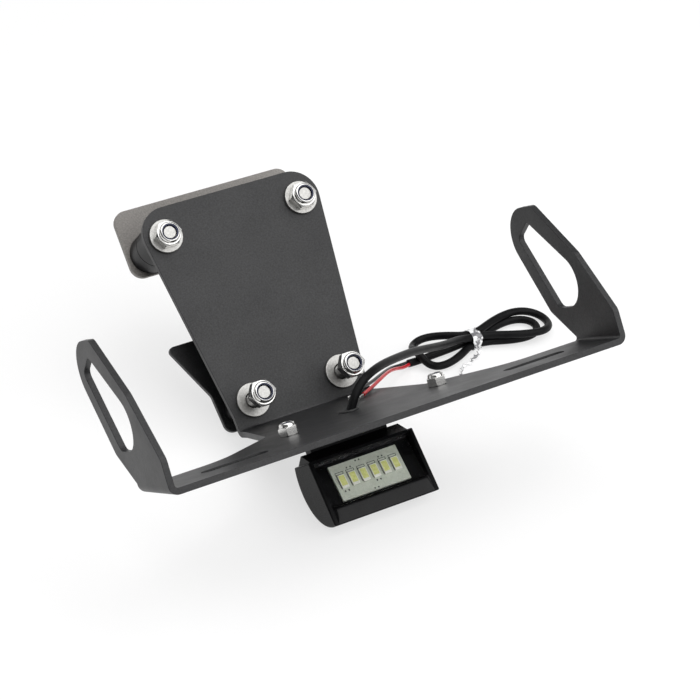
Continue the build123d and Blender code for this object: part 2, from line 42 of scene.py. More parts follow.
# Main bracket: one sheet of steel, laser cut, folded at the tail and at both arm ends, and coated
# with a fine black powder that rounds every cut edge a little and leaves a faintly sandy satin skin.
COAT_DARK = (0.0045, 0.0045, 0.005)
COAT_LIGHT = (0.017, 0.017, 0.0186)
COAT_EDGE = 0.45 * MM
COAT_GRAIN = 1500.0
COAT_ROUGH = (0.4, 0.5)
COAT_BUMP = 0.07 * MM
NOISE_SPAN = (0.3, 0.7)
MERGED = 0.001 * MM
FLAT_ANGLE = 0.5


def new_group(name, inputs, outputs):
    """Empty shader group with the given float inputs and its outputs, each a (name, socket type)."""
    group = bpy.data.node_groups.new(name, "ShaderNodeTree")
    for title, default in inputs:
        socket = group.interface.new_socket(title, in_out="INPUT", socket_type="NodeSocketFloat")
        socket.default_value = default
    for title, kind in outputs:
        group.interface.new_socket(title, in_out="OUTPUT", socket_type=kind)
    return group, group.nodes.new("NodeGroupInput"), group.nodes.new("NodeGroupOutput")


def add_noise(tree, coordinates, scale, detail=2.0, roughness=0.5):
    """Noise texture on the given coordinates; scale is a number, or a socket that carries one."""
    noise = tree.nodes.new("ShaderNodeTexNoise")
    tree.links.new(coordinates, noise.inputs["Vector"])
    if isinstance(scale, (int, float)):
        noise.inputs["Scale"].default_value = scale
    else:
        tree.links.new(scale, noise.inputs["Scale"])
    noise.inputs["Detail"].default_value = detail
    noise.inputs["Roughness"].default_value = roughness
    return noise.outputs["Fac"]


def add_range(tree, value, low, high):
    """The middle span of a noise value, spread from low to high; either may be a socket."""
    spread = tree.nodes.new("ShaderNodeMapRange")
    tree.links.new(value, spread.inputs["Value"])
    spread.inputs["From Min"].default_value = NOISE_SPAN[0]
    spread.inputs["From Max"].default_value = NOISE_SPAN[1]
    for title, limit in (("To Min", low), ("To Max", high)):
        if isinstance(limit, (int, float)):
            spread.inputs[title].default_value = limit
        else:
            tree.links.new(limit, spread.inputs[title])
    return spread.outputs["Result"]


def grain_group():
    """Height and mask of a sandy skin: a small grain, with a coarser one at a third of its scale."""
    group, given, result = new_group(
        "skin_grain", [("Scale", 900.0)], [("Height", "NodeSocketFloat"), ("Mask", "NodeSocketFloat")]
    )
    place = group.nodes.new("ShaderNodeTexCoord").outputs["Object"]
    third = group.nodes.new("ShaderNodeMath")
    third.operation = "DIVIDE"
    group.links.new(given.outputs["Scale"], third.inputs[0])
    third.inputs[1].default_value = 3.0
    fine = add_noise(group, place, given.outputs["Scale"])
    coarse = add_noise(group, place, third.outputs[0])
    both = group.nodes.new("ShaderNodeMath")
    both.operation = "ADD"
    group.links.new(fine, both.inputs[0])
    group.links.new(coarse, both.inputs[1])
    group.links.new(both.outputs[0], result.inputs["Height"])
    group.links.new(add_range(group, fine, 0.0, 1.0), result.inputs["Mask"])
    return group


def smudge_group():
    """Roughness that drifts between two values in soft patches, as handling leaves it."""
    group, given, result = new_group(
        "handling",
        [("Scale", 60.0), ("Low", 0.4), ("High", 0.5)],
        [("Roughness", "NodeSocketFloat"), ("Mask", "NodeSocketFloat")],
    )
    place = group.nodes.new("ShaderNodeTexCoord").outputs["Object"]
    patches = add_noise(group, place, given.outputs["Scale"], detail=4.0, roughness=0.6)
    rough = add_range(group, patches, given.outputs["Low"], given.outputs["High"])
    group.links.new(rough, result.inputs["Roughness"])
    group.links.new(add_range(group, patches, 0.0, 1.0), result.inputs["Mask"])
    return group


GRAIN = grain_group()
SMUDGE = smudge_group()


def place_group(tree, group, **values):
    """The group, placed in a material with its own values."""
    node = tree.nodes.new("ShaderNodeGroup")
    node.node_tree = group
    for title, value in values.items():
        node.inputs[title].default_value = value
    return node


def new_material(name, **values):
    """Material with one Principled shader, whose plain sockets take the given values."""
    material = bpy.data.materials.new(name)
    material.use_nodes = True
    shader = material.node_tree.nodes["Principled BSDF"]
    for title, value in values.items():
        socket = shader.inputs[title.replace("_", " ")]
        socket.default_value = (*value, 1.0) if isinstance(value, tuple) else value
    return material, material.node_tree, shader


def two_tone(tree, shader, mask, first, second):
    """Base colour between two tones by a mask."""
    mix = tree.nodes.new("ShaderNodeMix")
    mix.data_type = "RGBA"
    mix.inputs[6].default_value = (*first, 1.0)
    mix.inputs[7].default_value = (*second, 1.0)
    tree.links.new(mask, mix.inputs[0])
    tree.links.new(mix.outputs[2], shader.inputs["Base Color"])


def add_bump(tree, shader, height, depth, strength):
    """Bump of the given depth in metres on the shader's normal."""
    bump = tree.nodes.new("ShaderNodeBump")
    bump.inputs["Distance"].default_value = depth
    bump.inputs["Strength"].default_value = strength
    tree.links.new(height, bump.inputs["Height"])
    tree.links.new(bump.outputs["Normal"], shader.inputs["Normal"])


def skin_material(name, dark, light, rough, grain, depth, strength=0.5, **values):
    """Solid-coloured skin with a fine grain in its colour and height, and handling in its gloss."""
    material, tree, shader = new_material(name, **values)
    skin = place_group(tree, GRAIN, Scale=grain)
    smudge = place_group(tree, SMUDGE, Low=rough[0], High=rough[1])
    two_tone(tree, shader, skin.outputs["Mask"], dark, light)
    tree.links.new(smudge.outputs["Roughness"], shader.inputs["Roughness"])
    add_bump(tree, shader, skin.outputs["Height"], depth, strength)
    return material


def dress(piece, material):
    """Give a piece its material, and let it ride on the object."""
    piece.data.materials.clear()
    piece.data.materials.append(material)
    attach(piece, "root")
    return piece


def eased(node, edge, material, angle=35.0):
    """Stand-in for a CAD solid: its own faces, merged, with every sharp edge rounded by a bevel."""
    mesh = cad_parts[node].data.copy()
    shape = bmesh.new()
    shape.from_mesh(mesh)
    bmesh.ops.remove_doubles(shape, verts=shape.verts, dist=MERGED)
    flat = math.radians(FLAT_ANGLE)
    bmesh.ops.dissolve_limit(shape, angle_limit=flat, verts=shape.verts, edges=shape.edges)
    for face in shape.faces:
        face.smooth = True
    shape.to_mesh(mesh)
    shape.free()
    piece = bpy.data.objects.new("eased_" + node, mesh)
    bpy.context.scene.collection.objects.link(piece)
    bevel = piece.modifiers.new("eased edges", "BEVEL")
    bevel.width = edge
    bevel.segments = 3
    bevel.limit_method = "ANGLE"
    bevel.angle_limit = math.radians(angle)
    bevel.use_clamp_overlap = True
    normals = piece.modifiers.new("flat faces", "WEIGHTED_NORMAL")
    normals.keep_sharp = True
    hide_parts(node)
    return dress(piece, material)


powder_coat = skin_material(
    "powder_coat", COAT_DARK, COAT_LIGHT, COAT_ROUGH, COAT_GRAIN, COAT_BUMP, Specular_IOR_Level=0.4
)
eased("main_bracket", COAT_EDGE, powder_coat)

# Clamp plates: two flat blanks behind the tail plate, one a rounded rectangle, one winged. They are cut
# from the same sheet. The upper one has a duller coat, and its much lighter, browner grey is a painted
# highlight, which stands in for the light it catches from above.
# Painted highlight: the upper plate's tones are far lighter than the bracket's coat, for the light it catches
# from above.
CLAMP_LIT_DARK = (0.17, 0.16, 0.15)
CLAMP_LIT_LIGHT = (0.25, 0.235, 0.22)
CLAMP_ROUGH = (0.5, 0.6)
CLAMP_BUMP = 0.05 * MM
clamp_coat = skin_material(
    "clamp_coat", CLAMP_LIT_DARK, CLAMP_LIT_LIGHT, CLAMP_ROUGH, COAT_GRAIN, CLAMP_BUMP, Specular_IOR_Level=0.4
)
eased("upper_clamp_plate", COAT_EDGE, clamp_coat)
eased("lower_clamp_plate", COAT_EDGE, powder_coat)

# Spacers: black turned sleeves on the bolts, which hold the plates apart.
SPACER_EDGE = 0.4 * MM
spacer_black = skin_material(
    "spacer_black",
    dark=(0.004, 0.004, 0.0045),
    light=(0.007, 0.007, 0.0075),
    rough=(0.3, 0.42),
    grain=500.0,
    depth=0.02 * MM,
    Specular_IOR_Level=0.12,
)
for spacers in ("front_spacers", "rear_spacers", "lower_spacers"):
    eased(spacers, SPACER_EDGE, spacer_black)

# Washers, nuts and bolts: zinc-plated steel, pressed, tumbled bright and a little cloudy. The bolts are
# rolled with a sharp thread and have a domed head with a hexagon socket.
STEEL_DARK = (0.6, 0.595, 0.58)
STEEL_LIGHT = (0.72, 0.715, 0.7)
STEEL_GRAIN = 1400.0
steel = skin_material(
    "steel", STEEL_DARK, STEEL_LIGHT, (0.1, 0.18), STEEL_GRAIN, 0.006 * MM, strength=0.3, Metallic=1.0
)
TUMBLED_DARK = (0.33, 0.326, 0.315)
TUMBLED_LIGHT = (0.45, 0.445, 0.43)
tumbled = skin_material(
    "tumbled_steel",
    TUMBLED_DARK,
    TUMBLED_LIGHT,
    rough=(0.36, 0.46),
    grain=STEEL_GRAIN,
    depth=0.02 * MM,
    strength=0.6,
    Metallic=1.0,
)
WASHER_EDGE = 0.25 * MM
NUT_EDGE = 0.15 * MM
for pressed in ("upper_washers", "lower_washers"):
    eased(pressed, WASHER_EDGE, tumbled)
for nuts in ("upper_nuts", "lower_nuts", "light_nuts"):
    eased(nuts, NUT_EDGE, steel, angle=25.0)

BAR_TILT = math.radians(31.0827)
TAIL_TILT = BAR_TILT + math.radians(13.2)
FOLD = Vector((0.0, -5.139, 13.03))
SHEET = 2.5
BOLT_SIDES = 48

# Shape of a bolt: shares of its head's height, its pitch or its diameter, with the rims, the edges and
# the thread's two ends in millimetres.
BOLT_CENTRE = 0.02
SOCKET_FLOOR, SOCKET_MOUTH, SOCKET_RIM = 0.4, 0.97, 0.15
DOME_STEPS, DOME_POWER = 9, 1.3
RIM_TOP, RIM_FOOT, RIM_EASE = 0.25, 0.05, 0.1
THREAD_START, THREAD_STOP, THREAD_STEPS = 0.3, 0.05, 8
THREAD_DEPTH, THREAD_FADE = 0.54, 0.6
TIP_TAPER, TIP_LENGTH, TIP_EDGE = 0.09, 0.12, 0.02
TIP_RADII = (0.41, 0.36)


def bar_point(x, y, z):
    """Point x along the bar, y behind the fold in the bar's plane and z above it, in millimetres."""
    c, s = math.cos(BAR_TILT), math.sin(BAR_TILT)
    return FOLD + Vector((x, c * y + s * z, -s * y + c * z))


def standing_frame(origin, normal):
    """Matrix that puts Z along the normal and X along the bar, with its origin at the point, in metres."""
    z = Vector(normal).normalized()
    x = Vector((1, 0, 0))
    y = z.cross(x)
    turn = Matrix((x, y, z)).transposed().to_4x4()
    return Matrix.Translation(Vector(origin) * MM) @ turn


def tail_frame(x, height, depth):
    """Frame on a tail plate bolt, depth in front of the plate's front face."""
    up = Vector((0, math.sin(TAIL_TILT), math.cos(TAIL_TILT)))
    out = Vector((0, -math.cos(TAIL_TILT), math.sin(TAIL_TILT)))
    return standing_frame(FOLD + Vector((x, 0, 0)) + height * up + depth * out, out)


def bar_frame(x, y, z):
    """Frame on a bar bolt, z above the bar."""
    out = Vector((0, math.sin(BAR_TILT), math.cos(BAR_TILT)))
    return standing_frame(bar_point(x, y, z), out)


def grid_faces(rows, columns):
    """Quads of a closed band: row i, column j joins row i + 1 and the next column round."""
    i, j = np.meshgrid(np.arange(rows - 1), np.arange(columns), indexing="ij")
    k = (j + 1) % columns
    corners = [i * columns + j, i * columns + k, (i + 1) * columns + k, (i + 1) * columns + j]
    return np.stack(corners, -1).reshape(-1, 4)


def mesh_piece(name, points, faces, smooth=True):
    """Object at the origin from an array of points in metres and a list of faces."""
    mesh = bpy.data.meshes.new(name)
    mesh.from_pydata(np.asarray(points).tolist(), [], [list(map(int, face)) for face in faces])
    mesh.polygons.foreach_set("use_smooth", np.full(len(mesh.polygons), smooth))
    mesh.update()
    piece = bpy.data.objects.new(name, mesh)
    bpy.context.scene.collection.objects.link(piece)
    return piece


def hexagon(across, angle):
    """Radius of a hexagon: half its width across flats over the cosine from the nearest flat."""
    sector = math.pi / 3
    return across / 2 / np.cos((angle + sector / 2) % sector - sector / 2)


def bolt_surface(thread, pitch, length, head, head_height, socket):
    """Rings of a domed socket bolt: radius as a function of the angle, and height, from socket to tip.

    The dome blends the socket's hexagon into the round rim; the thread's radius is the shank's less a
    triangle wave of the height, wound once round for each pitch, and it runs out at both ends.
    """
    angle = np.linspace(0, 2 * np.pi, BOLT_SIDES, endpoint=False)
    hexa = hexagon(socket, angle)
    ring = np.ones_like(angle)
    floor_height, mouth_height = -SOCKET_FLOOR * head_height, -SOCKET_MOUTH * head_height
    rows = [(BOLT_CENTRE * ring, floor_height), (hexa, floor_height), (hexa, mouth_height)]
    for step in np.linspace(0, 1, DOME_STEPS):
        swing = step * math.pi / 2
        reach = math.sin(swing)
        radius = (1 - reach) * (hexa + SOCKET_RIM) + reach * head / 2 * ring
        dome = RIM_TOP + (1 - RIM_TOP) * math.cos(swing) ** DOME_POWER
        rows.append((radius, -head_height * dome))
    rows += [(head / 2 * ring, -RIM_FOOT * head_height), ((head / 2 - RIM_EASE) * ring, 0.0)]
    rows += [(thread / 2 * ring, 0.0)]
    depth = THREAD_DEPTH * pitch
    for z in np.arange(THREAD_START, length - THREAD_STOP, pitch / THREAD_STEPS):
        wave = np.abs(2 * ((z / pitch - angle / (2 * np.pi)) % 1.0) - 1)
        fade = min(1.0, z / pitch, (length - z) / (THREAD_FADE * pitch))
        ease = thread / 2 - TIP_TAPER * thread * max(0.0, 1 - (length - z) / (TIP_LENGTH * thread))
        rows.append((ease - depth * max(fade, 0.0) * wave, z))
    shoulder, tip = [share * thread * ring for share in TIP_RADII]
    rows += [(shoulder, length - TIP_EDGE), (tip, length), (BOLT_CENTRE * ring, length)]
    radius = np.stack([row[0] for row in rows])
    height = np.array([row[1] for row in rows])[:, None] * ring
    return np.stack([radius * np.cos(angle), radius * np.sin(angle), height], -1)


def mark_sharp(piece, angle):
    """Keep an edge sharp where its faces meet at more than the angle in degrees."""
    shape = bmesh.new()
    shape.from_mesh(piece.data)
    bmesh.ops.recalc_face_normals(shape, faces=shape.faces)
    for edge in shape.edges:
        edge.smooth = edge.calc_face_angle(0.0) < math.radians(angle)
    shape.to_mesh(piece.data)
    shape.free()


def bolts(name, frames, node, **sizes):
    """One piece of like bolts, each placed by its frame, which stands for the CAD node."""
    surface = bolt_surface(**sizes) * MM
    faces = grid_faces(*surface.shape[:2])
    ends = [np.arange(BOLT_SIDES)[::-1], np.arange(BOLT_SIDES) + (surface.shape[0] - 1) * BOLT_SIDES]
    flat = surface.reshape(-1, 3)
    points, all_faces = [], []
    for turn in frames:
        matrix = np.array(turn)
        base = len(points) * len(flat)
        points.append(flat @ matrix[:3, :3].T + matrix[:3, 3])
        all_faces += (faces + base).tolist() + [(end + base).tolist() for end in ends]
    piece = mesh_piece(name, np.concatenate(points), all_faces)
    mark_sharp(piece, 40.0)
    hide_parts(node)
    return dress(piece, tumbled)


M6_SIZES = {"thread": 6.0, "pitch": 1.0, "head": 10.5, "head_height": 3.3, "socket": 4.0}
M4_SIZES = {"thread": 4.0, "pitch": 0.7, "head": 7.6, "head_height": 2.2, "socket": 2.5}
SIDES = (-1, 1)
UPPER_X, UPPER_HEIGHT, UPPER_SEAT = 30.75, 84.4, -27.0
LOWER_X, LOWER_HEIGHT, LOWER_SEAT = 20.25, 10.4, -21.4
LIGHT_X, LIGHT_Y, LIGHT_SEAT = 32.5, -56.5, -5.0
upper_frames = [tail_frame(UPPER_X * side, UPPER_HEIGHT, UPPER_SEAT) for side in SIDES]
lower_frames = [tail_frame(LOWER_X * side, LOWER_HEIGHT, LOWER_SEAT) for side in SIDES]
light_frames = [bar_frame(LIGHT_X * side, LIGHT_Y, LIGHT_SEAT) for side in SIDES]
bolts("upper_socket_bolts", upper_frames, "upper_bolts", length=33.5, **M6_SIZES)
bolts("lower_socket_bolts", lower_frames, "lower_bolts", length=36.6, **M6_SIZES)
bolts("light_socket_bolts", light_frames, "light_bolts", length=9.3, **M4_SIZES)

# Nut inserts: rings of blue nylon, rolled into the collars of the lock nuts.
NYLON_DARK = (0.014, 0.018, 0.05)
NYLON_LIGHT = (0.02, 0.027, 0.08)
RING_EDGE = 0.1 * MM
nylon = skin_material("nylon", NYLON_DARK, NYLON_LIGHT, (0.25, 0.4), 600.0, 0.01 * MM)
for inserts in ("upper_nut_inserts", "lower_nut_inserts", "light_nut_inserts"):
    eased(inserts, RING_EDGE, nylon)

# Plate light: a slim moulded housing in black, with a glossier lip along its chin and a clear window
# over a pale circuit board, which carries a printed pattern and a row of surface-mounted chips.
BOARD_TILT = BAR_TILT + math.radians(27.4)
BOARD_OUT = (0, -math.cos(BOARD_TILT), math.sin(BOARD_TILT))
BOARD_MIDDLE = bar_point(0.0, -44.65, -25.5)
BOARD_FRAME = standing_frame(BOARD_MIDDLE, BOARD_OUT)
WINDOW_FOOT = -8.9
CHIN_TIP = -16.1
CHIN_LENGTH = 7.1
CHIN_BAND = 2.2
CHIN_EDGE = 0.6
CHIN_RISE = 2.24
CHIN_DROP = 1.0
LIP_HALF = 21.35
LIP_ROUND = 3.2
LIP_BROW = ((-9.0, 1.0), (-9.1, 1.9), (-9.3, 2.5), (-9.7, 2.85), (-10.2, 2.95))
LIP_RUN = 5.6
LIP_FALL = (0.55, 1.0)
LIP_BED = (1.62, 0.42)
LIP_SUNK = 0.25
HOUSING_EDGE = 0.35 * MM
HOUSING_SKIN = {"grain": 250.0, "depth": 0.002 * MM, "strength": 0.2}
HOUSING_TONES = (0.004, 0.004, 0.0045), (0.006, 0.006, 0.0065)
housing_black = skin_material(
    "housing_black", *HOUSING_TONES, rough=(0.24, 0.34), Specular_IOR_Level=0.06, **HOUSING_SKIN
)
chin_gloss = skin_material(
    "chin_gloss", *HOUSING_TONES, rough=(0.18, 0.28), Specular_IOR_Level=0.16, **HOUSING_SKIN
)


def on_board(points):
    """Points along the bar, up the board and out of it, in millimetres, as the object's in metres."""
    matrix = np.array(BOARD_FRAME)
    return np.asarray(points) * MM @ matrix[:3, :3].T + matrix[:3, 3]


def drop_chin(piece):
    """Lower the chin's front edge along the belly's round, by a share of its height out of the board."""
    matrix = np.array(BOARD_FRAME.inverted())
    places = np.empty(3 * len(piece.data.vertices))
    piece.data.vertices.foreach_get("co", places)
    local = (places.reshape(-1, 3) @ matrix[:3, :3].T + matrix[:3, 3]) / MM
    edge = (local[:, 1] < CHIN_TIP + CHIN_BAND) & (local[:, 2] > CHIN_EDGE)
    local[edge, 2] -= CHIN_DROP * local[edge, 2] / CHIN_RISE
    piece.data.vertices.foreach_set("co", on_board(local).ravel())


def chin_lip(stations):
    """Convex lip along the chin: a closed profile from the window's foot over a round brow to the edge.

    The brow's points are followed by a slope that falls with the way along and with its square. The
    profile is carried along the bar, and near both ends its height falls off as a quarter circle.
    """
    x = LIP_HALF * np.sin(np.linspace(-np.pi / 2, np.pi / 2, stations))
    past = np.maximum(0, np.abs(x) - (LIP_HALF - LIP_ROUND)) / LIP_ROUND
    fade = np.sqrt(np.maximum(0.0, 1 - past**2))
    brow = np.array(LIP_BROW)
    u = np.linspace(0, 1, 11)[1:]
    fall = LIP_FALL[0] * u + LIP_FALL[1] * u**2
    top = np.concatenate([brow, np.stack([brow[-1, 0] - LIP_RUN * u, brow[-1, 1] - fall], -1)])
    bed = LIP_BED[0] - LIP_BED[1] * (WINDOW_FOOT - top[:, 0]) / CHIN_LENGTH
    rise = bed + np.maximum(0, top[:, 1] - bed) * fade[:, None]
    along, up = np.meshgrid(x, top[:, 0], indexing="ij")
    crown = np.stack([along, up, rise], -1)
    under = crown[:, ::-1].copy()
    under[:, :, 2] = bed[::-1] - LIP_SUNK
    return np.concatenate([crown, under], 1)


housing = eased("light_housing", HOUSING_EDGE, housing_black)
drop_chin(housing)
lip = chin_lip(stations=60)
rows, columns = lip.shape[:2]
lip_ends = [np.arange(columns)[::-1], np.arange(columns) + (rows - 1) * columns]
lip_faces = grid_faces(rows, columns).tolist() + [end.tolist() for end in lip_ends]
chin = mesh_piece("light_chin", on_board(lip.reshape(-1, 3)), lip_faces)
mark_sharp(chin, 50.0)
dress(chin, chin_gloss)
window_clear, tree, shader = new_material(
    "window_clear", Base_Color=(0.98, 0.99, 0.99), Roughness=0.02, Transmission_Weight=1.0, IOR=1.33
)
light_ray = tree.nodes.new("ShaderNodeLightPath")
lit_through = tree.nodes.new("ShaderNodeBsdfTransparent")
window_mix = tree.nodes.new("ShaderNodeMixShader")
tree.links.new(light_ray.outputs["Is Shadow Ray"], window_mix.inputs["Fac"])
tree.links.new(shader.outputs[0], window_mix.inputs[1])
tree.links.new(lit_through.outputs[0], window_mix.inputs[2])
tree.links.new(window_mix.outputs[0], tree.nodes["Material Output"].inputs["Surface"])
dress(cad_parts["light_window"], window_clear)
BOARD_BUMP = 0.004 * MM
board_skin = skin_material("board_skin", (0.47, 0.5, 0.42), (0.55, 0.58, 0.5), (0.35, 0.5), 700.0, BOARD_BUMP)
dress(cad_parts["light_board"], board_skin)
chip_body = skin_material("chip_body", (0.72, 0.72, 0.66), (0.8, 0.8, 0.74), (0.25, 0.35), 700.0, BOARD_BUMP)
dress(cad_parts["light_chips"], chip_body)
CHIP_PITCH = 4.7
CHIP_TOP = 0.7
PHOSPHOR_HALF, PHOSPHOR_FOOT, PHOSPHOR_HEAD = 1.2, -1.75, 2.5
PRINT = 0.04
OUTLINE_IN, OUTLINE_OUT = 1.55, 1.75
OUTLINE_SIDES = (-2.3, 4.2)
OUTLINE_HEAD = (4.05, 4.25)
CONTACT = (2.86, 3.3)
MARK_HALF = 0.3
MARK_PITCH = 0.8
LOWER_MARKS = (-4.2, -3.5)
UPPER_MARKS = (4.7, 5.3)
LONE_MARKS = ((-3.2, 6.6), (-1.7, 6.6), (-0.8, -6.6), (0.8, -6.6))


def tiles(name, spans, material):
    """Flat tiles on the board; a span is one tile's least and greatest x, y and height in millimetres."""
    spans = np.array(spans)
    base = [[0, 2], [1, 2], [1, 3], [0, 3]]
    pick = np.array([[*corner, level] for level in (4, 5) for corner in base])
    corners = spans[:, pick].reshape(-1, 3)
    sides = np.array([[3, 2, 1, 0], [4, 5, 6, 7], [0, 1, 5, 4], [1, 2, 6, 5], [2, 3, 7, 6], [3, 0, 4, 7]])
    faces = (sides[None] + 8 * np.arange(len(spans))[:, None, None]).reshape(-1, 4)
    piece = mesh_piece(name, on_board(corners), faces, smooth=False)
    return dress(piece, material)


phosphor = skin_material("phosphor", (0.62, 0.64, 0.2), (0.76, 0.77, 0.32), (0.2, 0.3), 900.0, BOARD_BUMP)
ink = skin_material("board_ink", (0.008, 0.008, 0.009), (0.014, 0.014, 0.015), (0.4, 0.5), 900.0, BOARD_BUMP)
chip_places = (np.arange(6) - 2.5) * CHIP_PITCH
lit = [
    (x - PHOSPHOR_HALF, x + PHOSPHOR_HALF, PHOSPHOR_FOOT, PHOSPHOR_HEAD, CHIP_TOP, CHIP_TOP + PRINT)
    for x in chip_places
]
tiles("chip_phosphor", lit, phosphor)
outlines = []
for x in chip_places:
    outlines += [
        (x - OUTLINE_OUT, x - OUTLINE_IN, *OUTLINE_SIDES),
        (x + OUTLINE_IN, x + OUTLINE_OUT, *OUTLINE_SIDES),
        (x - OUTLINE_OUT, x + OUTLINE_OUT, *OUTLINE_HEAD),
        (x - OUTLINE_IN, x + OUTLINE_IN, *CONTACT),
    ]
for places, marks in ((chip_places[::3], LOWER_MARKS), (chip_places[1::3], UPPER_MARKS)):
    for x in places:
        middles = [x + side * MARK_PITCH for side in SIDES]
        outlines += [(middle - MARK_HALF, middle + MARK_HALF, *marks) for middle in middles]
for x, y in LONE_MARKS:
    outlines.append((x - MARK_HALF, x + MARK_HALF, y - MARK_HALF, y + MARK_HALF))
tiles("board_outlines", [(*outline, 0.0, PRINT) for outline in outlines], ink)

# Grommet: a black rubber ring that lines the hole where the lead comes up through the bar.
rubber = skin_material("rubber", (0.01, 0.01, 0.01), (0.016, 0.016, 0.016), (0.45, 0.6), 500.0, 0.02 * MM)
eased("grommet", RING_EDGE, rubber)

# Lead: a thin two-core cable in a black vinyl jacket. It rises out of the grommet, bends over to the
# right and runs down to the floor, where the rest of it is tied up in a hank of three loops.
LEAD = 3.4
LEAD_WAY = Vector((0.40, 0.25, 0.88)).normalized()
LEAD_ROOT = bar_point(-1.5, -45.0, -SHEET / 2)
FLOOR_LEVEL = 0.7 + LEAD / 2
HIGH = FLOOR_LEVEL + LEAD
TIE_X, TIE_Y = 93.2, 16.4
FRONT, REAR = TIE_Y - LEAD / 2, TIE_Y + LEAD / 2
LOOP_POINTS = 16
HUMP_SPREAD = 0.5


def loop(start_x, length, widths, powers, rear_first, shift, levels, hump=0.0):
    """One loop of the hank, a drop shape that leaves the tie on one side and comes back on the other.

    With the squared sine of half the turn as the way out, x runs out by length times it to the first
    power, y swings by the width times sine times it to the second, and the height changes with it to
    the third. The width goes over from rear to front at the far end, which shift moves across. Levels
    are the heights where it leaves the tie, at its far end, and where it comes back, and a hump lifts
    the far end over what lies under it, by a bell curve of the turn.
    """
    turn = np.linspace(0, 2 * np.pi, LOOP_POINTS + 2)[1:-1]
    out = np.sin(turn / 2) ** 2
    side = 1 if rear_first else -1
    rear, front = widths
    width = (rear + front) / 2 + (rear - front) / 2 * np.tanh(side * np.sin(turn))
    x = start_x + length * out ** powers[0]
    swing = width * np.sin(turn) * out ** powers[1] + LEAD / 2 * np.cos(turn / 2)
    y = TIE_Y + shift * out + side * swing
    tie_level = np.where(turn < np.pi, levels[0], levels[2])
    z = tie_level + (levels[1] - tie_level) * out ** powers[2]
    z += hump * np.exp(-(((turn - np.pi) / HUMP_SPREAD) ** 2))
    return [tuple(point) for point in np.stack([x, y, z], -1)]


lead_points = [
    LEAD_ROOT - 2.4 * LEAD_WAY,
    LEAD_ROOT + 5.2 * LEAD_WAY,
    (6.0, -39.7, 44.5),
    (13.1, -35.9, 45.0),
    (22.0, -29.7, 42.1),
    (32.6, -22.0, 36.9),
    (45.2, -13.2, 30.6),
    (59.8, -3.3, 21.9),
    (72.9, 6.1, 13.8),
    (82.6, 12.9, 8.9),
    (88.2, 14.9, 6.7),
]
lead_points += [(TIE_X, FRONT, HIGH)]
lead_points += loop(
    start_x=96.2,
    length=34.2,
    widths=(9.1, 14.0),
    powers=(0.93, 0.59, 3.0),
    rear_first=False,
    shift=0.77,
    levels=(HIGH, 1.9, HIGH),
)
lead_points += [(TIE_X, REAR, HIGH)]
lead_points += loop(
    start_x=90.2,
    length=-24.8,
    widths=(14.8, 9.4),
    powers=(0.9, 0.5, 1.0),
    rear_first=True,
    shift=0.6,
    levels=(HIGH, 1.9, FLOOR_LEVEL),
    hump=4.4,
)
lead_points += [(TIE_X, FRONT, FLOOR_LEVEL)]
lead_points += loop(
    start_x=96.7,
    length=27.4,
    widths=(6.7, 7.8),
    powers=(0.68, 0.24, 1.0),
    rear_first=False,
    shift=-0.57,
    levels=(FLOOR_LEVEL, 2.1, FLOOR_LEVEL),
)
lead_points += [
    (TIE_X, REAR, FLOOR_LEVEL),
    (87.7, 17.8, 2.4),
    (80.7, 17.3, 2.2),
    (71.7, 17.2, 2.0),
    (65.2, 16.6, 2.0),
    (60.7, TIE_Y, FLOOR_LEVEL),
]


def cord_curve(name, route, diameter):
    """Round cord along a smooth spline, with the route's points, in millimetres, as its control points."""
    curve = bpy.data.curves.new(name, "CURVE")
    curve.dimensions = "3D"
    curve.bevel_depth = diameter / 2 * MM
    curve.bevel_resolution = 5
    curve.use_fill_caps = True
    spline = curve.splines.new("NURBS")
    spline.points.add(len(route) - 1)
    for point, place in zip(spline.points, route):
        point.co = (*(np.array(place) * MM), 1.0)
    spline.order_u = 3
    spline.use_endpoint_u = True
    spline.resolution_u = 10
    piece = bpy.data.objects.new(name, curve)
    bpy.context.scene.collection.objects.link(piece)
    return piece


jacket = skin_material(
    "jacket",
    dark=(0.005, 0.005, 0.0055),
    light=(0.009, 0.009, 0.0095),
    rough=(0.34, 0.44),
    grain=300.0,
    depth=0.02 * MM,
    Specular_IOR_Level=0.07,
)
lead = dress(cord_curve("tied_lead", lead_points, LEAD), jacket)
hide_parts("lead", "cable_hank")

# Tie: a strip of clear film wound round the waist of the hank and twisted off into a loose tail, which
# curls down to the floor.
# Painted shade: dark grey patches in the clear film stand in for the shade and dark reflections of its
# crinkles.
FILM_CREASE_SHADE = (0.2, 0.2, 0.21)
FILM_CLEAR = (0.95, 0.955, 0.96)
film, tree, shader = new_material("film", Specular_IOR_Level=0.8, Alpha=0.9)
crinkle = place_group(tree, GRAIN, Scale=420.0)
gloss = place_group(tree, SMUDGE, Scale=400.0, Low=0.08, High=0.3)
# Painted shade: where the crinkle mask is low, the film's colour turns to the dark grey.
two_tone(tree, shader, add_range(tree, crinkle.outputs["Mask"], 0.0, 1.7), FILM_CREASE_SHADE, FILM_CLEAR)
tree.links.new(gloss.outputs["Roughness"], shader.inputs["Roughness"])
add_bump(tree, shader, crinkle.outputs["Height"], 0.5 * MM, 0.8)
TIE_HALF = LEAD + 0.25
TIE_WIDTH = 4.2
TIE_MIDDLE = FLOOR_LEVEL + LEAD / 2
TIE_FLOOR = 0.15
TIE_SNUG, TIE_CORNER = 0.985, 5
RIM_FLARE = 0.22
FILM_THICKNESS = 0.1 * MM
TAIL_PLACES = (
    (92.6, 12.4, 2.2),
    (89.6, 8.4, 1.4),
    (84.7, 5.8, 1.0),
    (79.7, 3.6, 1.0),
    (76.4, -0.6, 1.0),
    (75.2, -4.4, 1.0),
)
TAIL_WAVE = 0.7
TAIL_HALF, TAIL_TAPER = 1.0, 0.3
TAIL_FLOOR = 0.12


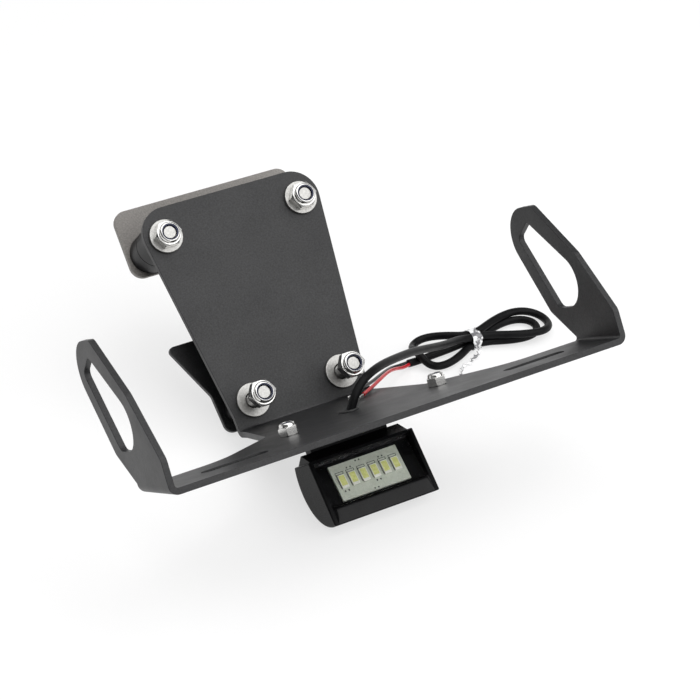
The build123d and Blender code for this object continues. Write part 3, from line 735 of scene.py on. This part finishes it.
def film_band(rows, columns):
    """Crinkled band round the hank: a square with round corners, carried along the bar's length.

    The angle runs round the square, whose reach is its half width over the larger of sine and cosine,
    softened at the corners; its rim stands off and its two edges wave by sums of sines.
    """
    around = np.linspace(0, 2 * np.pi, columns, endpoint=False)
    along, angle = np.meshgrid(np.linspace(-1, 1, rows), around, indexing="ij")
    corner = np.abs(np.cos(angle)) ** TIE_CORNER + np.abs(np.sin(angle)) ** TIE_CORNER
    square = corner ** (-1 / TIE_CORNER)
    crease = 0.1 * np.sin(9 * angle + 4 * along) + 0.08 * np.sin(5 * angle - 7 * along)
    reach = TIE_HALF * square * TIE_SNUG + RIM_FLARE * along**2 + crease * np.abs(along)
    x = TIE_X + along * (TIE_WIDTH / 2 + 0.25 * np.sin(3 * angle) + 0.12 * np.sin(7 * angle + 1))
    y = TIE_Y + reach * np.cos(angle)
    z = TIE_MIDDLE + reach * np.sin(angle)
    return np.stack([x, y, np.maximum(z, TIE_FLOOR)], -1)


def film_tail(stations, turns):
    """Twisted ribbon: a strip carried along a waved quartic near the tail's places, turned by even steps."""
    places = np.array(TAIL_PLACES)
    steps = np.linspace(0, 1, len(places))
    t = np.linspace(0, 1, stations)
    line = np.stack([np.polyval(np.polyfit(steps, places[:, axis], 4), t) for axis in range(3)], -1)
    wave = TAIL_WAVE * np.stack([np.sin(19 * t), np.cos(23 * t), 0 * t], -1)
    line += wave * (t * (1.2 - t))[:, None] * 2
    ahead = np.gradient(line, axis=0)
    ahead /= np.linalg.norm(ahead, axis=1)[:, None]
    aside = np.cross(ahead, (0, 0, 1))
    aside /= np.linalg.norm(aside, axis=1)[:, None]
    upward = np.cross(aside, ahead)
    swing = (2 * np.pi * turns * t)[:, None]
    edge = (np.cos(swing) * aside + np.sin(swing) * upward) * (TAIL_HALF - TAIL_TAPER * t)[:, None]
    line[:, 2] = np.maximum(line[:, 2], TAIL_FLOOR + np.abs(edge[:, 2]))
    return np.stack([line - edge, line, line + edge], 1)


def film_piece(name, surface, closed):
    """Thin sheet of film from a grid of points in millimetres."""
    rows, columns = surface.shape[:2]
    faces = grid_faces(rows, columns)
    if not closed:
        faces = faces.reshape(rows - 1, columns, 4)[:, :-1].reshape(-1, 4)
    piece = mesh_piece(name, surface.reshape(-1, 3) * MM, faces)
    sheet = piece.modifiers.new("film", "SOLIDIFY")
    sheet.thickness = FILM_THICKNESS
    sheet.offset = 0.0
    return dress(piece, film)


tie_band = film_piece("tie_band", film_band(rows=15, columns=96), closed=True)
tie_tail = film_piece("tie_tail", film_tail(stations=140, turns=5.0), closed=False)
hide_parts("cable_tie")

# Wires: the lead's two cores, one red and one black, which come back from its end onto the bar. Each
# ends in a few millimetres of tinned strands.
WIRE = 1.5
red_points = [
    (60.7, TIE_Y - 0.8, FLOOR_LEVEL),
    (56.6, 13.2, 3.6),
    (51.6, 9.6, 7.0),
    (46.0, 4.6, 11.2),
    (40.0, -1.4, 15.2),
    (32.9, -8.7, 19.1),
    (24.8, -15.7, 21.8),
    bar_point(17.5, -19.8, 1.15),
]
black_points = [
    (60.7, TIE_Y + 0.8, FLOOR_LEVEL),
    (56.4, TIE_Y + 0.2, 2.7),
    (51.4, 15.0, 4.2),
    (45.8, 9.5, 7.9),
    (38.5, 2.6, 11.7),
    (30.6, -4.0, 14.9),
    (23.6, -8.9, 17.7),
    bar_point(17.6, -10.0, 1.3),
]
VINYL_FINISH = {"rough": (0.25, 0.35), "grain": 400.0, "depth": 0.01 * MM}
red_vinyl = skin_material("red_vinyl", (0.42, 0.008, 0.014), (0.5, 0.012, 0.02), **VINYL_FINISH)
black_vinyl = skin_material("black_vinyl", (0.008, 0.008, 0.008), (0.012, 0.012, 0.012), **VINYL_FINISH)
tinned = skin_material(
    "tinned", (0.6, 0.6, 0.59), (0.8, 0.8, 0.79), (0.2, 0.35), 900.0, 0.02 * MM, Metallic=1.0
)
STRANDS = 7
STRAND_RADIUS = 0.15
STRAND_STATIONS = 24
STRAND_SIDES = 8
BUNDLE_RADIUS = 0.3
FRAY = 0.12
STRAND_STAGGER = 0.04
STRAND_SUNK = 0.02


def strands(ends, length, turns):
    """Bare strands of each core: six round wires wound about a straight seventh, frayed at the tip.

    Strand k is a circle carried along a helix whose radius grows with the square of the way along.
    """
    around = np.linspace(0, 2 * np.pi, STRAND_SIDES, endpoint=False)
    t, around = np.meshgrid(np.linspace(0, 1, STRAND_STATIONS), around, indexing="ij")
    rings = grid_faces(STRAND_STATIONS, STRAND_SIDES)
    cap = np.arange(STRAND_SIDES)
    points, faces = [], []
    for place, ahead in ends:
        z_axis = np.array(ahead.normalized())
        x_axis = np.cross((0, 0, 1), z_axis)
        x_axis /= np.linalg.norm(x_axis)
        turn = np.stack([x_axis, np.cross(z_axis, x_axis), z_axis])
        for k in range(STRANDS):
            swing = 2 * np.pi * (k / (STRANDS - 1) + turns * t)
            reach = 0.0 if k == STRANDS - 1 else BUNDLE_RADIUS + FRAY * t**2
            radius = STRAND_RADIUS * np.minimum(1, 6 * (1 - t) + 0.4)
            x = reach * np.cos(swing) + radius * np.cos(around)
            y = reach * np.sin(swing) + radius * np.sin(around)
            z = length * (t * (1 - STRAND_STAGGER * (k % 3)) - STRAND_SUNK)
            base = t.size * len(points)
            points.append(np.stack([x, y, z], -1).reshape(-1, 3) @ turn + np.array(place))
            faces += (rings + base).tolist()
            faces += [(cap[::-1] + base).tolist(), (cap + base + t.size - STRAND_SIDES).tolist()]
    return np.concatenate(points) * MM, faces


wire_tips = []
for route in (red_points, black_points):
    tip, before = Vector(route[-1]), Vector(route[-2])
    wire_tips.append((tip, tip - before))
wire_strands = mesh_piece("wire_strands", *strands(wire_tips, length=5.0, turns=0.8))
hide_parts("wire_ends")
dress(wire_strands, tinned)
for name, route, vinyl, length, ends in (
    ("red_wire", red_points, red_vinyl, 0.0615, [wire_strands]),
    ("black_wire", black_points, black_vinyl, 0.0555, []),
):
    wire = dress(cord_curve("core_" + name, route, WIRE), vinyl)
    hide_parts(name)

# Floor: a pale studio sweep, white to the camera, on which the object still casts its shadow.
FLOOR_HALF = 3.0
FLOOR_DROP = 0.2 * MM
FLOOR_TURN = ((-1, -1), (1, -1), (1, 1), (-1, 1))
floor_corners = [(x * FLOOR_HALF, y * FLOOR_HALF, -FLOOR_DROP) for x, y in FLOOR_TURN]
floor = mesh_piece("studio_floor", floor_corners, [(0, 1, 2, 3)], smooth=False)
FLOOR_WHITE = (0.94, 0.94, 0.94, 1)
SHADOW_SHARE = 0.34
SHADOW_REACH = (0.2, 0.55)
floor_white = bpy.data.materials.new("floor_white")
floor_white.use_nodes = True
tree = floor_white.node_tree
tree.nodes.clear()
path = tree.nodes.new("ShaderNodeLightPath")
seen = [path.outputs[title] for title in ("Is Camera Ray", "Is Glossy Ray", "Is Transmission Ray")]
for other in seen[1:]:
    either = tree.nodes.new("ShaderNodeMath")
    either.operation = "MAXIMUM"
    tree.links.new(seen[0], either.inputs[0])
    tree.links.new(other, either.inputs[1])
    seen[0] = either.outputs[0]
away = tree.nodes.new("ShaderNodeVectorMath")
away.operation = "LENGTH"
tree.links.new(tree.nodes.new("ShaderNodeTexCoord").outputs["Object"], away.inputs[0])
whiten = tree.nodes.new("ShaderNodeMapRange")
tree.links.new(away.outputs["Value"], whiten.inputs["Value"])
RANGE_TITLES = ("From Min", "From Max", "To Min", "To Max")
for title, value in zip(RANGE_TITLES, (*SHADOW_REACH, 1 - SHADOW_SHARE, 1.0)):
    whiten.inputs[title].default_value = value
share = tree.nodes.new("ShaderNodeMath")
share.operation = "MULTIPLY"
tree.links.new(whiten.outputs["Result"], share.inputs[1])
tree.links.new(seen[0], share.inputs[0])
matt = tree.nodes.new("ShaderNodeBsdfDiffuse")
matt.inputs["Color"].default_value = FLOOR_WHITE
glow = tree.nodes.new("ShaderNodeEmission")
glow.inputs["Color"].default_value = (1, 1, 1, 1)
mixed = tree.nodes.new("ShaderNodeMixShader")
tree.links.new(share.outputs[0], mixed.inputs["Fac"])
tree.links.new(matt.outputs[0], mixed.inputs[1])
tree.links.new(glow.outputs[0], mixed.inputs[2])
output = tree.nodes.new("ShaderNodeOutputMaterial")
tree.links.new(mixed.outputs[0], output.inputs["Surface"])
floor.data.materials.append(floor_white)

# Studio light: a horizon that is white behind the object and dimmer in front, under a dark ceiling, with
# a broad softbox overhead and a key light in front, where the tail plate mirrors it.
CEILING = 0.16
FRONT_SHARE = 0.35
HORIZON_FADE = (0.22, 0.5)
FRONT_TO_BACK = (-0.5, 0.4)
world = bpy.data.worlds.new("studio")
bpy.context.scene.world = world
world.use_nodes = True
tree = world.node_tree
sky = tree.nodes["Background"]
sky.inputs["Color"].default_value = (1, 1, 1, 1)
way = tree.nodes.new("ShaderNodeTexCoord")
height = tree.nodes.new("ShaderNodeSeparateXYZ")
tree.links.new(way.outputs["Generated"], height.inputs[0])
fade = tree.nodes.new("ShaderNodeMapRange")
fade.interpolation_type = "SMOOTHSTEP"
tree.links.new(height.outputs["Z"], fade.inputs["Value"])
for title, value in zip(RANGE_TITLES, (*HORIZON_FADE, 1.0, CEILING)):
    fade.inputs[title].default_value = value
dim = tree.nodes.new("ShaderNodeMapRange")
dim.interpolation_type = "SMOOTHSTEP"
tree.links.new(height.outputs["Y"], dim.inputs["Value"])
for title, value in zip(RANGE_TITLES, (*FRONT_TO_BACK, FRONT_SHARE, 1.0)):
    dim.inputs[title].default_value = value
horizon = tree.nodes.new("ShaderNodeMath")
horizon.operation = "MULTIPLY"
tree.links.new(fade.outputs["Result"], horizon.inputs[0])
tree.links.new(dim.outputs["Result"], horizon.inputs[1])
path = tree.nodes.new("ShaderNodeLightPath")
either = tree.nodes.new("ShaderNodeMath")
either.operation = "MAXIMUM"
tree.links.new(path.outputs["Is Camera Ray"], either.inputs[0])
tree.links.new(horizon.outputs[0], either.inputs[1])
tree.links.new(either.outputs[0], sky.inputs["Strength"])


def softbox(name, place, aim, size, power):
    """Square area lamp at a place, turned to face the aim, both in metres."""
    lamp = bpy.data.lights.new(name, "AREA")
    lamp.shape = "SQUARE"
    lamp.size = size
    lamp.energy = power
    holder = bpy.data.objects.new(name, lamp)
    holder.location = place
    holder.rotation_euler = (Vector(aim) - Vector(place)).to_track_quat("-Z", "Y").to_euler()
    bpy.context.scene.collection.objects.link(holder)


softbox("overhead_box", place=(-0.1, 0.25, 1.5), aim=(0, 0, 0), size=1.8, power=15.5)
softbox("key_box", place=(0.55, -0.85, 1.05), aim=(0, 0, 0.04), size=2.0, power=28.0)

# Camera: a long lens at the photograph's place and angle, worked out for a square picture.
CAMERA_PLACE = Vector((-343.9, -666.0, 533.4)) * MM
CAMERA_AHEAD = Vector((0.403, 0.7305, -0.5509))
CAMERA_UP = Vector((0.281, 0.4742, 0.8339))
camera_data = bpy.data.cameras.new("camera")
camera_data.sensor_width = 36.0
camera_data.lens = 115.7
camera_data.clip_start = 0.01
camera = bpy.data.objects.new("camera", camera_data)
back = -CAMERA_AHEAD.normalized()
across = CAMERA_UP.cross(back).normalized()
camera_turn = Matrix((across, back.cross(across), back)).transposed().to_4x4()
camera.matrix_world = Matrix.Translation(CAMERA_PLACE) @ camera_turn
bpy.context.scene.collection.objects.link(camera)
bpy.context.scene.camera = camera
bpy.context.scene.view_settings.view_transform = "Standard"
